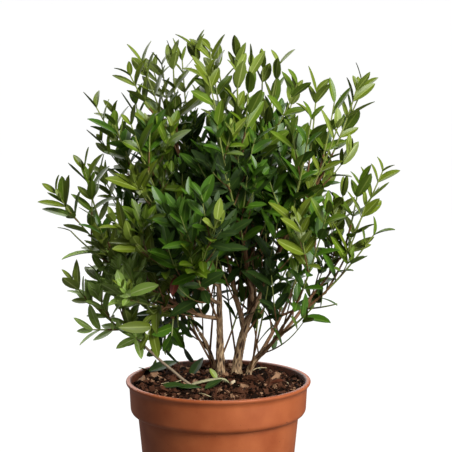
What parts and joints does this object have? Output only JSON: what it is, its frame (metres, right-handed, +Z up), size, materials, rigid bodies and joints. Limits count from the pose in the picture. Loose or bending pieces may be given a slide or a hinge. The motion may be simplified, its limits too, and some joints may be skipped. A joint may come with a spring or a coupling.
{
  "type": "potted myrtle",
  "caption": "Bushy evergreen myrtle with small glossy pointed leaves on slender woody stems, growing in a round moulded plastic pot with a deep collar.",
  "frame": {"origin": "centre of the pot's flat underside", "axes": "+Z up along the pot's axis, -Y towards the viewer of the picture, +X to the viewer's right"},
  "size_m": [0.3679, 0.3362, 0.5216],
  "materials": {
    "pot_plastic": "satin moulded plastic",
    "compost": "loose dark potting compost",
    "bark": "rough grey-brown bark",
    "foliage": "glossy evergreen leaves"
  },
  "bodies": {
    "root": {"pot": "pot_plastic", "compost": "compost", "stem_left": "bark", "stem_middle": "bark", "stem_right": "bark", "stem_back": "bark", "bough_left_crest": "bark", "bough_left_shoulder": "bark", "bough_left_waist": "bark", "bough_front": "bark", "bough_back_shoulder": "bark", "bough_back_skirt": "bark", "bough_front_crest": "bark", "bough_crest": "bark", "bough_back_right": "bark", "bough_right_shoulder": "bark", "bough_right_waist": "bark", "bough_front_right": "bark", "bough_right_skirt": "bark", "bough_heart": "bark", "low_foot": "bark", "low_limb": "bark", "crest_left": "foliage", "crest_back_left": "foliage", "shoulder_left": "foliage", "shoulder_front_left": "foliage", "waist_left": "foliage", "skirt_front_left": "foliage", "waist_front": "foliage", "waist_front_left": "foliage", "shoulder_back_left": "foliage", "waist_back_left": "foliage", "skirt_back_left": "foliage", "skirt_back": "foliage", "crest_front": "foliage", "shoulder_front": "foliage", "crest_right": "foliage", "crest_back": "foliage", "shoulder_back_right": "foliage", "waist_back": "foliage", "shoulder_right": "foliage", "shoulder_front_right": "foliage", "waist_right": "foliage", "waist_low_right": "foliage", "waist_front_right": "foliage", "skirt_front_right": "foliage", "skirt_right": "foliage", "waist_back_right": "foliage", "skirt_back_right": "foliage", "heart_front": "foliage", "heart_back": "foliage", "skirt_left": "foliage"}
  },
  "joints": []
}
